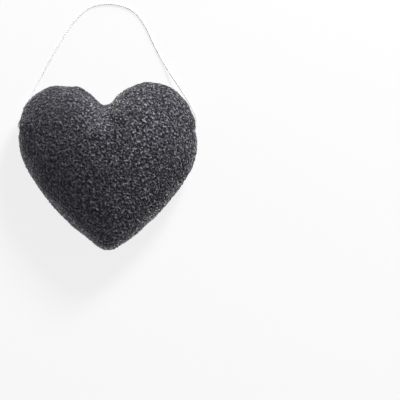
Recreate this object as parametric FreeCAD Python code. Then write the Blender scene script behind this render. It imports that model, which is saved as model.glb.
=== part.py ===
import FreeCAD, Part
import math
import os

from FreeCAD import Vector

# A heart-shaped konjac sponge with a thin hanging string. The string runs through the foam from lobe to lobe, is
# tied inside it, and leaves both sides to form one loop. The sponge lies on its flat back with the dome up (+Z) and
# the heart's point towards -Y, and the loop lies on the table past the lobes (+Y). Lengths are in millimetres, and
# the origin is the middle of the sponge's box, on the table.

# Sponge: overall size
sponge_width = 80.0
sponge_length = 75.0
sponge_thickness = 30.0
belly_height = 11.0  # level of the widest outline, above the flat back

# Sponge: the widest outline, seen from above
notch_depth = 10.2  # from the right lobe's end down to the notch
notch_radius = 5.2
notch_offset = -1.4  # from the sponge's middle, towards the left
left_lobe_drop = 1.5  # how much lower the left lobe ends than the right one
right_lean = 31.0  # degrees above level where the right lobe's arc runs into the side's arc
left_lean = 11.5  # the same on the left
side_radius = 32.0
flank_radius = 108.0
tip_radius = 6.5

# Sponge: how the outline shrinks below and above its widest level
back_inset_share = 0.17  # of the outline, lost at the flat back
crown_share = 0.14  # of the outline, left flat on the crown
crown_place_share = 0.11  # of the length, from the middle to the crown's centre
notch_fade_share = 1.0  # of the notch radius, gained towards the crown
dome_power = 2.0  # of the plan: 2 is round, more is fuller
rise_power = 1.6  # of the height: 2 is an ellipse, less is closer to a cone
back_steps = 3
dome_steps = 6

# String and its channel
string_diameter = 0.8
channel_y = 17.0
channel_clearance = 0.05
run_reach = 35.5  # from the sponge's middle plane to where the free string starts
dimple_radius = 3.4  # of the hollow that the string draws into each side
dimple_depth = 2.6
arc_share = 0.45  # of the shorter run, rounded off at each point of the string's route

# Knot inside the foam: a barrel of wraps with two cut tails
wrap_count = 6
knot_diameter = 2.4
groove_share = 0.8  # of the string's radius, between two wraps
tail_length = 1.0
pocket_clearance = 0.3

cut_overrun = 2.0

string_radius = string_diameter / 2
channel_z = belly_height
crown_y = crown_place_share * sponge_length
knot_radius = knot_diameter / 2
knot_length = wrap_count * string_diameter
tail_reach = knot_radius + tail_length
x_axis = Vector(1, 0, 0)
z_axis = Vector(0, 0, 1)
channel_middle = Vector(0, channel_y, channel_z)

# The free string, from the left exit round the loop to the right exit
string_route = [
    (-run_reach, channel_y, channel_z),
    (-38.3, channel_y, channel_z),
    (-40.5, 18.0, 8.9),
    (-39.9, 19.7, 6.2),
    (-38.5, 22.8, 3.7),
    (-37.0, 26.6, 2.0),
    (-35.4, 30.6, 0.9),
    (-31.9, 37.0, 0.45),
    (-26.5, 46.4, 0.45),
    (-20.8, 56.2, 0.45),
    (-15.2, 64.8, 0.45),
    (-8.5, 70.9, 0.45),
    (-1.5, 73.3, 0.45),
    (5.6, 72.6, 0.45),
    (11.5, 69.8, 0.45),
    (16.5, 63.8, 0.45),
    (20.3, 55.6, 0.45),
    (25.0, 46.5, 0.6),
    (30.3, 38.3, 2.1),
    (35.7, 30.3, 5.0),
    (38.5, 25.2, 7.3),
    (39.9, 21.6, 9.0),
    (40.3, 18.7, 10.3),
    (38.0, channel_y, channel_z),
    (run_reach, channel_y, channel_z),
]


def tangent_centre(first, second, radius, side):
    """Centre of a circle that touches two others; a hollow arc has a negative radius."""
    first_centre, first_radius = first
    second_centre, second_radius = second
    to_first = abs(radius - first_radius)
    to_second = abs(radius - second_radius)
    line = second_centre - first_centre
    along = (to_first ** 2 - to_second ** 2 + line.Length ** 2) / (2 * line.Length)
    across = math.sqrt(to_first ** 2 - along ** 2)
    direction = line / line.Length
    normal = Vector(-direction.y, direction.x, 0)
    return first_centre + direction * along + normal * (side * across)


def touching_point(first, second):
    """Point where two arcs of the outline meet smoothly."""
    first_centre, first_radius = first
    second_centre, second_radius = second
    return first_centre + (first_centre - second_centre) * (first_radius / (second_radius - first_radius))


def half_heart(hand, lobe_drop, lean):
    """Side and lobe circles of one half; hand is 1 on the right and -1 on the left.

    The side touches the sponge's full width, the lobe its full length less the drop, and the lobe also touches the
    notch, which settles the lobe's radius.
    """
    level = math.cos(math.radians(lean))
    depth = notch_depth - lobe_drop
    reach = sponge_width / 2 - hand * notch_offset - side_radius * (1 - level)
    root = math.sqrt(depth * (2 * reach * level + depth + level ** 2 * (2 * notch_radius - depth)))
    lobe_radius = (reach * level + depth - root) / level ** 2
    lobe_x = notch_offset + hand * (reach - level * lobe_radius)
    lobe_centre = Vector(lobe_x, sponge_length / 2 - lobe_drop - lobe_radius, 0)
    leaning = Vector(hand * level, math.sin(math.radians(lean)), 0)
    side_centre = lobe_centre - leaning * (side_radius - lobe_radius)
    return (side_centre, side_radius), (lobe_centre, lobe_radius)


def right_half():
    return half_heart(1, 0, right_lean)


def left_half():
    return half_heart(-1, left_lobe_drop, left_lean)


def heart_circles(notch_growth):
    """Circles of the widest outline in order, clockwise from the notch."""
    right_side, right_lobe = right_half()
    left_side, left_lobe = left_half()
    tip = (Vector(0, tip_radius - sponge_length / 2, 0), tip_radius)
    right_flank = (tangent_centre(right_side, tip, flank_radius, -1), flank_radius)
    left_flank = (tangent_centre(left_side, tip, flank_radius, 1), flank_radius)
    hollow = -notch_radius * notch_growth
    notch = (tangent_centre(left_lobe, right_lobe, hollow, 1), hollow)
    return [notch, right_lobe, right_side, right_flank, tip, left_flank, left_side, left_lobe]


def heart_section(plan_share, height, notch_growth):
    """The outline shrunk towards the crown's centre, as a closed wire at one level."""
    circles = heart_circles(notch_growth)
    crown = Vector(0, crown_y, 0)

    def placed(point):
        return crown + (point - crown) * plan_share + Vector(0, 0, height)

    joins = []
    for index, circle in enumerate(circles):
        joins.append(touching_point(circles[index - 1], circle))
    edges = []
    for index, (centre, radius) in enumerate(circles):
        start = joins[index]
        end = joins[(index + 1) % len(joins)]
        outward = (start - centre) + (end - centre)
        middle = centre + outward * (abs(radius) / outward.Length)
        edges.append(Part.Arc(placed(start), placed(middle), placed(end)).toShape())
    return Part.Wire(edges)


def foam_block():
    """The moulded heart: flat back, round edge, full dome and a crease that fades from the notch."""
    sections = []
    for step in range(back_steps):
        angle = math.radians(90) * (step / back_steps - 1)
        plan_share = 1 - back_inset_share * (1 - math.cos(angle))
        sections.append(heart_section(plan_share, belly_height * (1 + math.sin(angle)), 1))
    for step in range(dome_steps + 1):
        angle = math.radians(90) * step / dome_steps
        out = abs(math.cos(angle)) ** (2 / dome_power)
        up = math.sin(angle) ** (2 / rise_power)
        plan_share = crown_share + (1 - crown_share) * out
        height = belly_height + (sponge_thickness - belly_height) * up
        sections.append(heart_section(plan_share, height, 1 + notch_fade_share * (1 - out)))
    return Part.makeLoft(sections, True, False)


def along_channel(radius, start_x, end_x):
    """A cylinder on the channel's axis."""
    return Part.makeCylinder(radius, end_x - start_x, Vector(start_x, channel_y, channel_z), x_axis)


def dimple(hand, side):
    """The hollow that the string draws into one side of the foam."""
    side_centre, radius = side
    side_x = side_centre.x + hand * math.sqrt(radius ** 2 - (channel_y - side_centre.y) ** 2)
    middle_x = side_x + hand * (dimple_radius - dimple_depth)
    return Part.makeSphere(dimple_radius, Vector(middle_x, channel_y, channel_z))


def sponge_body():
    reach = sponge_width / 2 + cut_overrun
    channel = along_channel(string_radius + channel_clearance, -reach, reach)
    pocket_half = knot_length / 2 + pocket_clearance
    pocket_radius = math.hypot(tail_reach, string_radius) + pocket_clearance
    pocket = along_channel(pocket_radius, -pocket_half, pocket_half)
    hollows = [pocket, dimple(1, right_half()[0]), dimple(-1, left_half()[0])]
    return foam_block().cut(channel.fuse(hollows))


def rounded_path(route):
    """Straight runs joined by tangent arcs, each as large as its two runs allow."""
    points = [Vector(*point) for point in route]
    edges = []
    radii = []
    last = points[0]
    for before, corner, after in zip(points, points[1:], points[2:]):
        way_in = corner - before
        way_out = after - corner
        turn = way_in.getAngle(way_out)
        trim = arc_share * min(way_in.Length, way_out.Length)
        radius = trim / math.tan(turn / 2)
        way_in.normalize()
        way_out.normalize()
        inward = way_out - way_in
        inward.normalize()
        start = corner - way_in * trim
        end = corner + way_out * trim
        middle = corner + inward * (radius / math.cos(turn / 2) - radius)
        edges.append(Part.LineSegment(last, start).toShape())
        edges.append(Part.Arc(start, middle, end).toShape())
        radii.append(radius)
        last = end
    edges.append(Part.LineSegment(last, points[-1]).toShape())
    return Part.Wire(edges), radii


def string_loop():
    """The free string, from one exit round the loop to the other."""
    path, radii = rounded_path(string_route)
    start = Vector(*string_route[0])
    toward = Vector(*string_route[1]) - start
    ring = Part.Wire(Part.makeCircle(string_radius, start, toward))
    tube = path.makePipeShell([ring], True, False)
    expected = math.pi * string_radius ** 2 * path.Length
    print("string arc radii (mm):", ", ".join(f"{radius:.1f}" for radius in radii))
    print(f"free string length {path.Length:.1f} mm, volume {tube.Volume:.2f} of {expected:.2f} mm3 expected")
    return tube


def string_run(hand):
    """The buried string from the knot to one exit."""
    ends = sorted((hand * knot_length / 2, hand * run_reach))
    return along_channel(string_radius, ends[0], ends[1])


def string_knot():
    """A barrel of wraps turned about the channel's axis, with two cut tails out of its middle."""
    groove_radius = knot_radius - groove_share * string_radius

    def at(x, radius):
        return channel_middle + Vector(x, 0, radius)

    left = -knot_length / 2
    edges = [Part.LineSegment(at(left, 0), at(left, groove_radius)).toShape()]
    for wrap in range(wrap_count):
        start = left + wrap * string_diameter
        middle = start + string_radius
        end = start + string_diameter
        arc = Part.Arc(at(start, groove_radius), at(middle, knot_radius), at(end, groove_radius))
        edges.append(arc.toShape())
    edges.append(Part.LineSegment(at(-left, groove_radius), at(-left, 0)).toShape())
    edges.append(Part.LineSegment(at(-left, 0), at(left, 0)).toShape())
    barrel = Part.Face(Part.Wire(edges)).revolve(channel_middle, x_axis, 360)
    tails = Part.makeCylinder(string_radius, 2 * tail_reach, channel_middle - z_axis * tail_reach, z_axis)
    return barrel.fuse(tails)


def main():
    pieces = {
        "sponge_body": sponge_body(),
        "string_loop": string_loop(),
        "string_run_left": string_run(-1),
        "string_run_right": string_run(1),
        "string_knot": string_knot(),
    }
    os.makedirs("parts", exist_ok=True)
    for node, shape in pieces.items():
        box = shape.BoundBox
        print(
            f"{node}: {shape.ShapeType}, {len(shape.Solids)} solid, valid {shape.isValid()}, "
            f"volume {shape.Volume:.1f} mm3, x {box.XMin:.2f} to {box.XMax:.2f}, "
            f"y {box.YMin:.2f} to {box.YMax:.2f}, z {box.ZMin:.2f} to {box.ZMax:.2f}"
        )
        shape.exportStep(f"parts/{node}.step")


main()
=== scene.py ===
# %% [markdown]
# # A heart-shaped konjac sponge on its string
# A konjac sponge is one block of plant-fibre foam, here dyed dark with charcoal and cast in a heart mould.
# A thin cotton string runs through it from side to side and makes a loop to hang it by. The CAD model gives
# the sizes and the one joint, on which the loop swings. This script gives the looks: a twisted string on
# the CAD model's route, and a foam body with real pores. Everything is in metres, in the CAD model's frame.

# %% Load the CAD frame
import math

import bpy
import numpy as np
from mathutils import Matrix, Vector


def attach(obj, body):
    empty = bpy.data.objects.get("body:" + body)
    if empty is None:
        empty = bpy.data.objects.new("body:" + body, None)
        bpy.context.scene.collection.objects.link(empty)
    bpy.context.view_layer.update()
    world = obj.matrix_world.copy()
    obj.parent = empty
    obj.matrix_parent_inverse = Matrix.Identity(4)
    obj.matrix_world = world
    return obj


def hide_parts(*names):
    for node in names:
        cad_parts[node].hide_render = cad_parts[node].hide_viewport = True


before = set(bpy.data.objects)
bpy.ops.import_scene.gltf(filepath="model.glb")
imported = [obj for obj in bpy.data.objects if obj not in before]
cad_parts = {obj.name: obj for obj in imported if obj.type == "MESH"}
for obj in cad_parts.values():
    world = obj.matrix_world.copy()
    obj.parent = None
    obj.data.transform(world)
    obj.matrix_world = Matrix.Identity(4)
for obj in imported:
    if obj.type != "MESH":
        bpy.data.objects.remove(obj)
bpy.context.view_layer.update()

mm = 0.001
bpy.context.scene.view_settings.view_transform = "Standard"

# %% [markdown]
# ## Camera
# The photograph looks straight down on the sponge, so the camera needs no turn at all: a new camera already
# looks along -Z with +Y up. A long lens from far away keeps the sides of the dome hidden, as they are in
# the photograph. The heart sits left of the middle of the picture, and the camera is moved sideways for
# that, so no lens shift is needed.

# %% Camera over the table
picture_side_px = 400
px_per_mm = 2.23
heart_middle_px = (107.8, 166.3)
belly_z = 11 * mm
camera_distance = 1.5
view_width = picture_side_px / px_per_mm * mm
camera_x = (picture_side_px / 2 - heart_middle_px[0]) / px_per_mm * mm
camera_y = (heart_middle_px[1] - picture_side_px / 2) / px_per_mm * mm

bpy.ops.object.select_all(action="DESELECT")
bpy.ops.object.camera_add(location=(camera_x, camera_y, belly_z + camera_distance), rotation=(0, 0, 0))
camera = bpy.context.object
camera.name = "camera_above"
camera.data.lens = camera.data.sensor_width * camera_distance / view_width
camera.data.clip_end = 20
bpy.context.scene.camera = camera
print("lens %.0f mm, view %.1f mm wide" % (camera.data.lens, view_width / mm))

# %% [markdown]
# ## The string's line
# A string is limp: it leaves the left lobe, drops to the table, makes one loose arch above the heart and
# climbs back into the right lobe. Its points are those of the CAD model's route, in metres, with the upper
# ones moved by about a millimetre to follow the photograph. One NURBS spline with these points as its
# control points gives a line without corners. Blender turns that spline into closely spaced points, which
# the strands of the yarn follow next.

# %% Smooth lines from control points
loop_route = [
    (-0.0355, 0.0170, 0.0110), (-0.0383, 0.0170, 0.0110), (-0.0405, 0.0180, 0.0089),
    (-0.0399, 0.0197, 0.0062), (-0.0385, 0.0228, 0.0037), (-0.0370, 0.0266, 0.0020),
    (-0.0355, 0.0306, 0.0009), (-0.0322, 0.0372, 0.00045), (-0.0270, 0.0467, 0.00045),
    (-0.0215, 0.0566, 0.00045), (-0.0159, 0.0653, 0.00045), (-0.0092, 0.0719, 0.00045),
    (-0.0022, 0.0736, 0.00045), (0.0057, 0.0730, 0.00045), (0.0119, 0.0702, 0.00045),
    (0.0166, 0.0639, 0.00045), (0.0203, 0.0556, 0.00045), (0.0250, 0.0465, 0.0006),
    (0.0303, 0.0383, 0.0021), (0.0357, 0.0303, 0.0050), (0.0385, 0.0252, 0.0073),
    (0.0399, 0.0216, 0.0090), (0.0403, 0.0187, 0.0103), (0.0380, 0.0170, 0.0110),
    (0.0355, 0.0170, 0.0110),
]
loop_steps = 44
channel_y = 17 * mm
channel_z = 11 * mm
exit_x = 35.5 * mm
run_middle_x = 19 * mm
knot_half = 2.4 * mm
run_steps = 90
left_run_route = [(x, channel_y, channel_z) for x in (-exit_x, -run_middle_x, -knot_half)]
right_run_route = [(x, channel_y, channel_z) for x in (knot_half, run_middle_x, exit_x)]


def smooth_line(route, steps):
    """Closely spaced points on one NURBS line with the route's points as its control points."""
    line = bpy.data.curves.new("line", "CURVE")
    line.dimensions = "3D"
    spline = line.splines.new("NURBS")
    spline.points.add(len(route) - 1)
    for point, place in zip(spline.points, route):
        point.co = (*place, 1)
    spline.order_u = 3
    spline.use_endpoint_u = True
    spline.resolution_u = steps
    carrier = bpy.data.objects.new("line", line)
    bpy.context.scene.collection.objects.link(carrier)
    bpy.context.view_layer.update()
    read = bpy.data.meshes.new_from_object(carrier)
    points = [vertex.co.copy() for vertex in read.vertices]
    bpy.data.objects.remove(carrier)
    bpy.data.meshes.remove(read)
    return points


def line_length(points):
    """Length along a line of points."""
    return sum((b - a).length for a, b in zip(points, points[1:]))


loop_line = smooth_line(loop_route, loop_steps)
left_run_line = smooth_line(left_run_route, run_steps)
right_run_line = smooth_line(right_run_route, run_steps)
print("free string %.1f mm in %d points" % (line_length(loop_line) / mm, len(loop_line)))

# %% [markdown]
# ## Twisted yarn
# Cotton string is three thin strands twisted together, and the twist shows as slanted ribs. A plain tube
# with a rib bump would look right from far away only, so each strand is its own tube that winds around the
# line. The turns are counted along the line's length, which keeps the pitch even in the bends.

# %% Wind three strands around a line
string_diameter = 0.8 * mm
strand_count = 3
strand_radius = 0.25 * mm
strand_offset = string_diameter / 2 - strand_radius
twist_pitch = 2.6 * mm


def wound_strand(points, start_turn):
    """The points of one strand that winds around a line."""
    side = (points[1] - points[0]).orthogonal().normalized()
    travelled = 0.0
    wound = []
    for index, point in enumerate(points):
        after = points[min(index + 1, len(points) - 1)]
        before = points[max(index - 1, 0)]
        ahead = (after - before).normalized()
        side = (side - ahead * side.dot(ahead)).normalized()
        if index:
            travelled += (point - points[index - 1]).length
        turn = 2 * math.pi * (travelled / twist_pitch + start_turn)
        across = ahead.cross(side)
        wound.append(point + (side * math.cos(turn) + across * math.sin(turn)) * strand_offset)
    return wound


def tube_mesh(name, lines, radius):
    """One mesh of round tubes along several lines of points."""
    curve = bpy.data.curves.new(name, "CURVE")
    curve.dimensions = "3D"
    curve.bevel_depth = radius
    curve.bevel_resolution = 1
    curve.use_fill_caps = True
    for points in lines:
        spline = curve.splines.new("POLY")
        spline.points.add(len(points) - 1)
        for point, place in zip(spline.points, points):
            point.co = (*place, 1)
    tube = bpy.data.objects.new(name, curve)
    bpy.context.scene.collection.objects.link(tube)
    bpy.ops.object.select_all(action="DESELECT")
    tube.select_set(True)
    bpy.context.view_layer.objects.active = tube
    bpy.ops.object.convert(target="MESH")
    bpy.ops.object.shade_smooth()
    return bpy.context.object


def yarn(name, points):
    """A length of three-strand yarn along a line."""
    strands = [wound_strand(points, number / strand_count) for number in range(strand_count)]
    return tube_mesh(name, strands, strand_radius)


loop_yarn = yarn("cotton_loop", loop_line)
left_run_yarn = yarn("cotton_run_left", left_run_line)
right_run_yarn = yarn("cotton_run_right", right_run_line)
print("loop yarn:", len(loop_yarn.data.polygons), "faces")

# %% [markdown]
# ## The hidden knot
# The string is one closed loop, so its two ends are tied together. No knot shows outside, so it sits in the
# middle of the foam: a barrel knot, six wraps of the same string around itself, with two short cut tails.
# The wraps are one helix, and each tail is a short tube.

# %% Wraps and tails of the knot
wrap_count = 6
wrap_radius = 0.8 * mm
wrap_tube = 0.38 * mm
wrap_steps = 20
tail_heights = [0.4 * mm, 1.0 * mm, 1.6 * mm, 2.0 * mm]
wrap_span = 2 * (knot_half - wrap_tube)

wraps = []
for step in range(wrap_count * wrap_steps + 1):
    share = step / (wrap_count * wrap_steps)
    turn = 2 * math.pi * wrap_count * share
    wraps.append(Vector((
        (share - 0.5) * wrap_span,
        channel_y + wrap_radius * math.cos(turn),
        channel_z + wrap_radius * math.sin(turn),
    )))
tail_x = wrap_span / 2 - wrap_tube
tail_up = [Vector((tail_x, channel_y, channel_z + height)) for height in tail_heights]
tail_down = [Vector((-tail_x, channel_y, channel_z - height)) for height in tail_heights]
core = [Vector((-knot_half, channel_y, channel_z)), Vector((knot_half, channel_y, channel_z))]
knot = tube_mesh("cotton_knot", [wraps, tail_up, tail_down, core], wrap_tube)
print("knot box in mm:", [round(side / mm, 2) for side in knot.dimensions])

# %% [markdown]
# ## Cotton finish
# Undyed cotton is a warm white with no shine. Close up it is made of fine fibres, so a fine noise gives
# small changes of tone and a small bump, and sheen stands for the fuzz of loose fibre ends. Object
# coordinates are in metres, so a scale of 5000 is a grain of a fifth of a millimetre.

# %% Cotton material
def ramp(nodes, stops):
    """A colour ramp with the given places and tones."""
    node = nodes.new("ShaderNodeValToRGB")
    while len(node.color_ramp.elements) < len(stops):
        node.color_ramp.elements.new(0.5)
    for element, (place, tone) in zip(node.color_ramp.elements, stops):
        element.position = place
        element.color = (*tone, 1)
    return node


cotton = bpy.data.materials.new("white_cotton")
cotton.use_nodes = True
cotton_nodes = cotton.node_tree.nodes
cotton_links = cotton.node_tree.links
cotton_shader = cotton_nodes["Principled BSDF"]
cotton_shader.inputs["Roughness"].default_value = 0.9
cotton_shader.inputs["Specular IOR Level"].default_value = 0.2
cotton_shader.inputs["Sheen Weight"].default_value = 1.0
cotton_shader.inputs["Sheen Roughness"].default_value = 0.8

cotton_place = cotton_nodes.new("ShaderNodeTexCoord")
fibre_noise = cotton_nodes.new("ShaderNodeTexNoise")
fibre_noise.inputs["Scale"].default_value = 5000
fibre_noise.inputs["Detail"].default_value = 3
cotton_links.new(cotton_place.outputs["Object"], fibre_noise.inputs["Vector"])
fibre_tone = ramp(cotton_nodes, [(0.3, (0.93, 0.925, 0.91)), (0.7, (0.985, 0.98, 0.97))])
cotton_links.new(fibre_noise.outputs["Fac"], fibre_tone.inputs["Fac"])
cotton_links.new(fibre_tone.outputs["Color"], cotton_shader.inputs["Base Color"])
fibre_bump = cotton_nodes.new("ShaderNodeBump")
fibre_bump.inputs["Strength"].default_value = 0.5
fibre_bump.inputs["Distance"].default_value = 0.05 * mm
cotton_links.new(fibre_noise.outputs["Fac"], fibre_bump.inputs["Height"])
cotton_links.new(fibre_bump.outputs["Normal"], cotton_shader.inputs["Normal"])

for piece in (loop_yarn, left_run_yarn, right_run_yarn, knot):
    piece.data.materials.clear()
    piece.data.materials.append(cotton)
    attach(piece, "string")
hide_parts("string_loop")
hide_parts("string_run_left")
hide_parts("string_run_right")
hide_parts("string_knot")
print("cotton on", loop_yarn.name, left_run_yarn.name, right_run_yarn.name, knot.name)

# %% [markdown]
# ## The foam block
# The CAD solid already has the heart, the dome, the flat back and the two dimples of the string. A copy of
# its mesh is made into even quads by a voxel remesh, because pores need an even mesh, and long thin CAD
# triangles would show. The string's bore and the knot's pocket are inside and can't be seen, so they are
# closed first.

# %% Even quads from the CAD solid
weld_gap = 0.001 * mm
bore_reach = 36.9 * mm
pocket_reach = 3.3 * mm
coarse_voxel = 1.0 * mm

foam = bpy.data.objects.new("foam_heart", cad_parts["sponge_body"].data.copy())
foam.data.name = "foam_heart"
bpy.context.scene.collection.objects.link(foam)
bpy.ops.object.select_all(action="DESELECT")
foam.select_set(True)
bpy.context.view_layer.objects.active = foam

bpy.ops.object.mode_set(mode="EDIT")
bpy.ops.mesh.select_all(action="SELECT")
bpy.ops.mesh.remove_doubles(threshold=weld_gap)
bpy.ops.mesh.select_all(action="DESELECT")
bpy.ops.mesh.select_mode(type="FACE")
bpy.ops.object.mode_set(mode="OBJECT")
bore_faces = 0
for face in foam.data.polygons:
    from_axis = math.hypot(face.center.y - channel_y, face.center.z - channel_z)
    face.select = abs(face.center.x) < bore_reach and from_axis < pocket_reach
    bore_faces += face.select
bpy.ops.object.mode_set(mode="EDIT")
bpy.ops.mesh.delete(type="FACE")
bpy.ops.mesh.select_all(action="SELECT")
bpy.ops.mesh.fill_holes(sides=0)
bpy.ops.object.mode_set(mode="OBJECT")

remesh = foam.modifiers.new("even_quads", "REMESH")
remesh.mode = "VOXEL"
remesh.voxel_size = coarse_voxel
bpy.ops.object.modifier_apply(modifier=remesh.name)
print("closed", bore_faces, "bore faces; even mesh of", len(foam.data.polygons), "quads")

# %% Smooth the steps of the voxels
settle = foam.modifiers.new("settle", "SMOOTH")
settle.factor = 0.5
settle.iterations = 3
bpy.ops.object.modifier_apply(modifier=settle.name)
print("settled foam, box in mm", [round(side / mm, 2) for side in foam.dimensions])

# %% [markdown]
# ## Small dents and swellings
# No two cast hearts have quite the same edge. This one has a shallow dent in the end of its left lobe, a
# fuller right shoulder, a slightly lopsided point, and a dome that swells a little on its top and on its
# right side. The foam closes in around the two exits of the string, and above the left one it is pressed
# back again, so that the string has room to swing past. All of this is pulled one by one: one vertex is
# picked, moved a little with proportional editing on, and its neighbours follow.

# %% Pull the foam into shape
foam_pulls = [
    # place, reach and shift, all in mm
    ((-18.7, 35.2, 12.0), 5.0, (0.0, -0.8, 0.0)),
    ((-12.6, 34.4, 12.0), 5.0, (0.2, 0.8, 0.0)),
    ((-7.2, 31.0, 12.0), 7.0, (0.3, 0.5, 0.0)),
    ((-26.5, 33.8, 12.0), 6.0, (-0.1, 0.2, 0.0)),
    ((-34.0, 30.0, 12.0), 8.0, (-0.2, 0.2, 0.0)),
    ((36.0, 28.5, 12.0), 9.0, (0.3, 0.2, 0.0)),
    ((-37.0, 17.0, 11.0), 5.0, (-1.2, 0.0, 0.0)),
    ((-38.6, 17.0, 14.6), 6.0, (-0.6, 0.0, 0.0)),
    ((-39.6, 16.8, 12.4), 2.6, (0.6, 0.0, 0.0)),
    ((37.0, 17.0, 11.0), 5.0, (1.2, 0.0, 0.0)),
    ((38.4, 18.5, 14.6), 7.0, (1.0, 0.0, 0.0)),
    ((10.5, -31.0, 12.0), 8.0, (0.5, -0.4, 0.0)),
    ((0.5, 6.5, 30.0), 13.0, (0.0, 0.0, 0.8)),
    ((20.5, 5.5, 27.5), 12.0, (0.0, 0.0, 1.0)),
    ((6.0, 22.0, 27.5), 5.5, (0.0, 0.0, 0.9)),
]


def pull(piece, place, reach, shift, falloff="SMOOTH"):
    """Move the vertex nearest to a place, and its neighbours within reach with it."""
    number = min(piece.data.vertices, key=lambda vertex: (vertex.co - place).length).index
    bpy.ops.object.mode_set(mode="EDIT")
    bpy.ops.mesh.select_mode(type="VERT")
    bpy.ops.mesh.select_all(action="DESELECT")
    bpy.ops.object.mode_set(mode="OBJECT")
    start = piece.data.vertices[number].co.copy()
    piece.data.vertices[number].select = True
    bpy.ops.object.mode_set(mode="EDIT")
    bpy.ops.transform.translate(
        value=shift,
        use_proportional_edit=True,
        proportional_edit_falloff=falloff,
        proportional_size=reach,
    )
    bpy.ops.object.mode_set(mode="OBJECT")
    return (piece.data.vertices[number].co - start).length


for place, reach, shift in foam_pulls:
    moved = pull(foam, Vector(place) * mm, reach * mm, Vector(shift) * mm)
    print("pulled the foam at", place, "by %.2f mm" % (moved / mm))

# %% [markdown]
# ## The crease under the notch
# Below the notch between the lobes a soft crease runs down the dome and fades out. It is pressed in step by
# step along a line that bulges with the dome, each press a little weaker than the one before. The sharp
# falloff keeps the bottom of the crease narrow.

# %% Press the crease
# places, reach and depth in mm
crease_top = Vector((0.4, 24.5, 22.0))
crease_end = Vector((3.2, 11.0, 30.0))
crease_bulge = 3.5
crease_presses = 9
crease_reach = 6.0
crease_depth = 0.6

for step in range(crease_presses):
    share = step / (crease_presses - 1)
    place = crease_top.lerp(crease_end, share)
    place.z += crease_bulge * math.sin(math.pi * share)
    fade = math.cos(math.pi / 2 * share)
    pull(foam, place * mm, crease_reach * mm, Vector((0, 0, -crease_depth * fade)) * mm, "SHARP")
print("pressed a crease from", tuple(crease_top), "to", tuple(crease_end))

# %% Divide the quads for the pores
fine = foam.modifiers.new("fine", "SUBSURF")
fine.levels = 2
fine.render_levels = 2
bpy.ops.object.modifier_apply(modifier=fine.name)
bpy.ops.object.shade_smooth()
print("foam:", len(foam.data.polygons), "quads, box in mm", [round(side / mm, 2) for side in foam.dimensions])

# %% [markdown]
# ## Lumps and pores
# Cast foam is never quite even: the surface swells and sinks by a fraction of a millimetre over the width
# of a finger, and it is full of pores about a millimetre across, which make the edge look grainy too. A
# finer grain roughens the walls between them. All three are real displacement of the mesh, with Blender's
# own textures, so they cast shadows and show in the outline.

# %% Displace the surface
lump_width = 9 * mm
lump_height = 0.9 * mm
pore_width = 1.15 * mm
pore_depth = 0.65 * mm
pore_level = 0.45
grain_width = 0.7 * mm
grain_depth = 0.6 * mm
even_level = 0.5


def displace(piece, name, texture, strength, middle):
    """Push a piece's surface along its normals by a texture and keep the result."""
    push = piece.modifiers.new(name, "DISPLACE")
    push.texture = texture
    push.texture_coords = "LOCAL"
    push.strength = strength
    push.mid_level = middle
    bpy.ops.object.modifier_apply(modifier=push.name)


def places(piece):
    """A piece's vertex places as an array."""
    flat = np.empty(len(piece.data.vertices) * 3)
    piece.data.vertices.foreach_get("co", flat)
    return flat.reshape(-1, 3)


lumps = bpy.data.textures.new("cast_lumps", "CLOUDS")
lumps.noise_scale = lump_width
lumps.noise_depth = 1
displace(foam, "cast_lumps", lumps, lump_height, even_level)
before_pores = places(foam)
normals = np.empty(len(foam.data.vertices) * 3)
foam.data.vertices.foreach_get("normal", normals)
normals = normals.reshape(-1, 3)

pores = bpy.data.textures.new("pores", "VORONOI")
pores.noise_scale = pore_width
pores.distance_metric = "DISTANCE"
pores.weight_1 = 1.0
displace(foam, "pores", pores, pore_depth, pore_level)
grain = bpy.data.textures.new("grain", "CLOUDS")
grain.noise_scale = grain_width
grain.noise_depth = 1
displace(foam, "grain", grain, grain_depth, even_level)

after_pores = places(foam)
heights = np.einsum("ij,ij->i", after_pores - before_pores, normals)
low, middle, high = np.percentile(heights, (1, 50, 99))
print("pore heights from %.2f to %.2f mm, middle %.2f mm" % (low / mm, high / mm, middle / mm))

# %% [markdown]
# ## Painted rim light, painted light and shade, and pits
# Three things change the foam's colour from place to place. The rim is painted lighter along its widest
# line, on the lower sides of the heart away from the lamp: painted rim light. Soft patches a few fingers
# wide are painted lighter or darker: painted light and shade on the dome. And pits are painted darker than
# the walls between them: painted shade. They could be patterns in the material, but the rim light and the
# pits follow the shape, so all three are worked out on the mesh and stored as a number on every vertex,
# which the material reads.

# %% Store painted rim light, painted light and shade, and pore height
# how far up the surface faces where the painted rim light starts, and where it is full
rim_light_start = 0.68
rim_light_full = 0.34
# the direction in which the painted rim light grows, away from the lamp, and the distances along it between
# which it does
rim_light_toward = np.array((-0.45, -0.9, 0.0))
rim_light_from = -22 * mm
rim_light_to = 6 * mm
# the height at which the painted rim light below the widest line has faded out
rim_light_foot = 0
# painted light and shade: soft patches that make the foam's colour lighter or darker where the dome is lit or
# shaded
painted_light_patches = [
    # place from above in mm, reach in mm, and painted light above one or painted shade below one
    ((22, 18), 13, 1.35),
    ((34, 0), 18, 0.75),
    ((-5, 19), 12, 1.50),
    ((-29, 27), 13, 0.80),
    ((-2, -33), 18, 1.20),
]


def smooth_step(share):
    """A share from 0 to 1 that starts and ends gently."""
    share = np.clip(share, 0, 1)
    return share * share * (3 - 2 * share)


def store(piece, name, values):
    """Keep one number for every vertex under a name that a material can read."""
    piece.data.attributes.new(name, "FLOAT", "POINT").data.foreach_set("value", values)


# painted rim light: a lighter colour on the steep lower sides, away from the lamp
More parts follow.
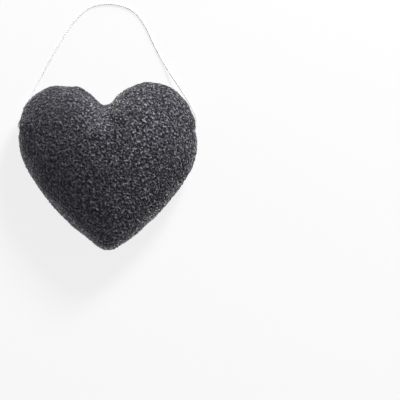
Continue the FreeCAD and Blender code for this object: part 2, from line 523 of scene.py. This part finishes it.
steep = smooth_step((rim_light_start - normals[:, 2]) / (rim_light_start - rim_light_full))
lower = smooth_step((before_pores @ rim_light_toward - rim_light_from) / (rim_light_to - rim_light_from))
above_foot = smooth_step((before_pores[:, 2] - rim_light_foot) / (belly_z - rim_light_foot))
store(foam, "painted_rim_light", steep * lower * above_foot)
# painted light and shade: the patches multiply together into one factor on every vertex
painted_light_and_shade = np.ones(len(before_pores))
for place, reach, change in painted_light_patches:
    away = np.linalg.norm(before_pores[:, :2] / mm - place, axis=1)
    painted_light_and_shade *= 1 + (change - 1) * smooth_step(1 - away / reach)
store(foam, "painted_light_and_shade", painted_light_and_shade)
# the pore height, which the material turns into painted shade in the pits and painted light on the walls
store(foam, "pore_height", np.clip((heights - low) / (high - low), 0, 1))
print("dye from %.2f to %.2f" % (painted_light_and_shade.min(), painted_light_and_shade.max()))

# %% Rest the back on the table
rested = after_pores.copy()
rested[:, 2] = np.maximum(rested[:, 2], 0)
foam.data.vertices.foreach_set("co", rested.ravel())
foam.data.update()
print("foam rests at z = %.3f mm" % (rested[:, 2].min() / mm))

# %% [markdown]
# ## Charcoal foam finish
# The foam is dark grey with a faint violet cast, which is stronger in its pits. The pits are painted nearly
# black, as painted shade, and the walls between them are painted lighter, as painted light. The stored
# pore height drives the colour, so the painted shade always sits in a real pit. Fine flecks of random tone,
# drawn out along one diagonal, break this up further, and the brightest of them are painted glints. They
# are stronger to the right, where the lamp's light grazes the dome, and weaker on the shaded left: painted
# light and shade. The stored painted rim light and painted light and shade are multiplied on top.

# %% Charcoal foam material
charcoal = bpy.data.materials.new("charcoal_foam")
charcoal.use_nodes = True
charcoal_nodes = charcoal.node_tree.nodes
charcoal_links = charcoal.node_tree.links
charcoal_shader = charcoal_nodes["Principled BSDF"]
charcoal_shader.inputs["Specular IOR Level"].default_value = 0.25
charcoal_shader.inputs["Sheen Weight"].default_value = 1.0
charcoal_shader.inputs["Sheen Roughness"].default_value = 0.3


def multiplied(tone, change):
    """A node that multiplies one tone by another."""
    mix = charcoal_nodes.new("ShaderNodeMix")
    mix.data_type = "RGBA"
    mix.blend_type = "MULTIPLY"
    mix.inputs["Factor"].default_value = 1
    charcoal_links.new(tone, mix.inputs["A"])
    charcoal_links.new(change, mix.inputs["B"])
    return mix


# charcoal colour with painted shade in the pits and painted light on the walls between them
height_read = charcoal_nodes.new("ShaderNodeAttribute")
height_read.attribute_name = "pore_height"
pore_colour_and_shade = ramp(charcoal_nodes, [
    (0.15, (0.011, 0.0107, 0.0170)),
    (0.50, (0.037, 0.0363, 0.0460)),
    (0.95, (0.097, 0.0952, 0.1085)),
])
charcoal_links.new(height_read.outputs["Fac"], pore_colour_and_shade.inputs["Fac"])

charcoal_place = charcoal_nodes.new("ShaderNodeTexCoord")
fleck_noise = charcoal_nodes.new("ShaderNodeTexNoise")
fleck_noise.inputs["Scale"].default_value = 1200
fleck_noise.inputs["Detail"].default_value = 1
fleck_stretch = charcoal_nodes.new("ShaderNodeMapping")
fleck_stretch.vector_type = "TEXTURE"
fleck_stretch.inputs["Rotation"].default_value = (0, 0, math.radians(-42))
fleck_stretch.inputs["Scale"].default_value = (1.35, 0.92, 1.0)
charcoal_links.new(charcoal_place.outputs["Object"], fleck_stretch.inputs["Vector"])
charcoal_links.new(fleck_stretch.outputs["Vector"], fleck_noise.inputs["Vector"])
# flecks of random tone, stretched along one diagonal; the brightest are painted glints
fleck_and_glint_tone = ramp(charcoal_nodes, [
    (0.32, (0.14, 0.14, 0.18)),
    (0.51, (0.80, 0.80, 0.82)),
    (0.66, (3.5, 3.5, 3.2)),
])
charcoal_links.new(fleck_noise.outputs["Fac"], fleck_and_glint_tone.inputs["Fac"])
# painted light and shade: the flecks are strongest to the right, where the lamp's light grazes the dome, and
# weakest on the shaded left
lit_side_toward = charcoal_nodes.new("ShaderNodeVectorMath")
lit_side_toward.operation = "DOT_PRODUCT"
lit_side_toward.inputs[1].default_value = (0.93, 0.37, 0.0)
charcoal_links.new(charcoal_place.outputs["Object"], lit_side_toward.inputs[0])
lit_side_fleck_strength = charcoal_nodes.new("ShaderNodeMapRange")
lit_side_fleck_strength.inputs["From Min"].default_value = -18 * mm
lit_side_fleck_strength.inputs["From Max"].default_value = 6 * mm
lit_side_fleck_strength.inputs["To Min"].default_value = 0.3
lit_side_fleck_strength.inputs["To Max"].default_value = 1.0
charcoal_links.new(lit_side_toward.outputs["Value"], lit_side_fleck_strength.inputs["Value"])
flecked_with_glints = multiplied(pore_colour_and_shade.outputs["Color"], fleck_and_glint_tone.outputs["Color"])
charcoal_links.new(lit_side_fleck_strength.outputs["Result"], flecked_with_glints.inputs["Factor"])

# painted rim light: the rim's colour is made up to 3.4 times lighter
rim_light_read = charcoal_nodes.new("ShaderNodeAttribute")
rim_light_read.attribute_name = "painted_rim_light"
rim_light_tone = ramp(charcoal_nodes, [(0.0, (1.0, 1.0, 1.0)), (1.0, (3.4, 3.39, 3.15))])
charcoal_links.new(rim_light_read.outputs["Fac"], rim_light_tone.inputs["Fac"])
rim_lit = multiplied(flecked_with_glints.outputs["Result"], rim_light_tone.outputs["Color"])
# painted light and shade: the patch factor multiplies the colour
light_and_shade_read = charcoal_nodes.new("ShaderNodeAttribute")
light_and_shade_read.attribute_name = "painted_light_and_shade"
shade_painted = multiplied(rim_lit.outputs["Result"], light_and_shade_read.outputs["Fac"])
charcoal_links.new(shade_painted.outputs["Result"], charcoal_shader.inputs["Base Color"])

pit_roughness = charcoal_nodes.new("ShaderNodeMapRange")
pit_roughness.inputs["To Min"].default_value = 0.95
pit_roughness.inputs["To Max"].default_value = 0.7
charcoal_links.new(height_read.outputs["Fac"], pit_roughness.inputs["Value"])
charcoal_links.new(pit_roughness.outputs["Result"], charcoal_shader.inputs["Roughness"])

wall_bump = charcoal_nodes.new("ShaderNodeBump")
wall_bump.inputs["Strength"].default_value = 1.0
wall_bump.inputs["Distance"].default_value = 0.4 * mm
charcoal_links.new(fleck_noise.outputs["Fac"], wall_bump.inputs["Height"])
fibre_grain = charcoal_nodes.new("ShaderNodeTexNoise")
fibre_grain.inputs["Scale"].default_value = 7000
fibre_grain.inputs["Detail"].default_value = 2
charcoal_links.new(charcoal_place.outputs["Object"], fibre_grain.inputs["Vector"])
fibre_lift = charcoal_nodes.new("ShaderNodeBump")
fibre_lift.inputs["Strength"].default_value = 0.6
fibre_lift.inputs["Distance"].default_value = 0.06 * mm
charcoal_links.new(fibre_grain.outputs["Fac"], fibre_lift.inputs["Height"])
charcoal_links.new(wall_bump.outputs["Normal"], fibre_lift.inputs["Normal"])
charcoal_links.new(fibre_lift.outputs["Normal"], charcoal_shader.inputs["Normal"])

foam.data.materials.clear()
foam.data.materials.append(charcoal)
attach(foam, "sponge")
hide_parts("sponge_body")
print("charcoal foam on", foam.name)

# %% [markdown]
# ## Table and light
# The sponge lies on plain white. A soft lamp from the upper right models the dome, as in the photograph.
# The sky is brightest near the horizon, so it lights the sides of the foam and of the string and fills the
# shadows. The table is bright and keeps a soft shadow.

# %% Table
table_half = 2.0
shadow_lift = 0.82
bpy.ops.object.select_all(action="DESELECT")
bpy.ops.mesh.primitive_plane_add(size=2 * table_half, location=(0, 0, 0))
table = bpy.context.object
table.name = "table"
white = bpy.data.materials.new("table_white")
white.use_nodes = True
white_nodes = white.node_tree.nodes
white_links = white.node_tree.links
white_shader = white_nodes["Principled BSDF"]
white_shader.inputs["Base Color"].default_value = (0.93, 0.93, 0.93, 1)
white_shader.inputs["Roughness"].default_value = 0.9
white_shader.inputs["Specular IOR Level"].default_value = 0.1


def seen_rays(nodes, links):
    """One on camera, glossy and transmission rays, and zero on the rays that light the object."""
    ray = nodes.new("ShaderNodeLightPath")
    seen = ray.outputs["Is Camera Ray"]
    for kind in ("Is Glossy Ray", "Is Transmission Ray"):
        either = nodes.new("ShaderNodeMath")
        either.operation = "MAXIMUM"
        links.new(seen, either.inputs[0])
        links.new(ray.outputs[kind], either.inputs[1])
        seen = either.outputs["Value"]
    return seen


lift = white_nodes.new("ShaderNodeMath")
lift.operation = "MULTIPLY"
white_links.new(seen_rays(white_nodes, white_links), lift.inputs[0])
lift.inputs[1].default_value = shadow_lift
glow = white_nodes.new("ShaderNodeEmission")
mixed = white_nodes.new("ShaderNodeMixShader")
white_links.new(lift.outputs[0], mixed.inputs["Fac"])
white_links.new(white_shader.outputs["BSDF"], mixed.inputs[1])
white_links.new(glow.outputs["Emission"], mixed.inputs[2])
white_links.new(mixed.outputs["Shader"], white_nodes["Material Output"].inputs["Surface"])
table.data.materials.append(white)
print("table", 2 * table_half, "m wide")

# %% Lamp and sky
key_distance = 0.9
key_azimuth = math.radians(64)
key_height = math.radians(30)
key_aim = Vector((0, 0, 10 * mm))
key_size = 0.2
key_power = 10.4
horizon_level = 2.4
upper_level = 0.06
upper_from = 0.42
key_from = Vector((
    math.cos(key_height) * math.cos(key_azimuth),
    math.cos(key_height) * math.sin(key_azimuth),
    math.sin(key_height),
))
bpy.ops.object.select_all(action="DESELECT")
bpy.ops.object.light_add(type="AREA", location=key_aim + key_from * key_distance)
key = bpy.context.object
key.name = "soft_key"
key.rotation_euler = key_from.to_track_quat("Z", "Y").to_euler()
key.data.size = key_size
key.data.energy = key_power

world = bpy.data.worlds.new("white_room")
bpy.context.scene.world = world
world.use_nodes = True
sky_nodes = world.node_tree.nodes
sky_links = world.node_tree.links
sky = sky_nodes["Background"]
sky.inputs["Color"].default_value = (1, 1, 1, 1)
sky_place = sky_nodes.new("ShaderNodeTexCoord")
sky_split = sky_nodes.new("ShaderNodeSeparateXYZ")
sky_links.new(sky_place.outputs["Generated"], sky_split.inputs["Vector"])
sky_level = sky_nodes.new("ShaderNodeMapRange")
sky_level.inputs["From Min"].default_value = 0.0
sky_level.inputs["From Max"].default_value = upper_from
sky_level.inputs["To Min"].default_value = horizon_level
sky_level.inputs["To Max"].default_value = upper_level
sky_links.new(sky_split.outputs["Z"], sky_level.inputs["Value"])
sky_links.new(sky_level.outputs["Result"], sky.inputs["Strength"])
backdrop = sky_nodes.new("ShaderNodeBackground")
backdrop.inputs["Color"].default_value = (1, 1, 1, 1)
sky_mix = sky_nodes.new("ShaderNodeMixShader")
sky_links.new(seen_rays(sky_nodes, sky_links), sky_mix.inputs["Fac"])
sky_links.new(sky.outputs["Background"], sky_mix.inputs[1])
sky_links.new(backdrop.outputs["Background"], sky_mix.inputs[2])
sky_links.new(sky_mix.outputs["Shader"], sky_nodes["World Output"].inputs["Surface"])
print("key lamp", key.data.energy, "W")
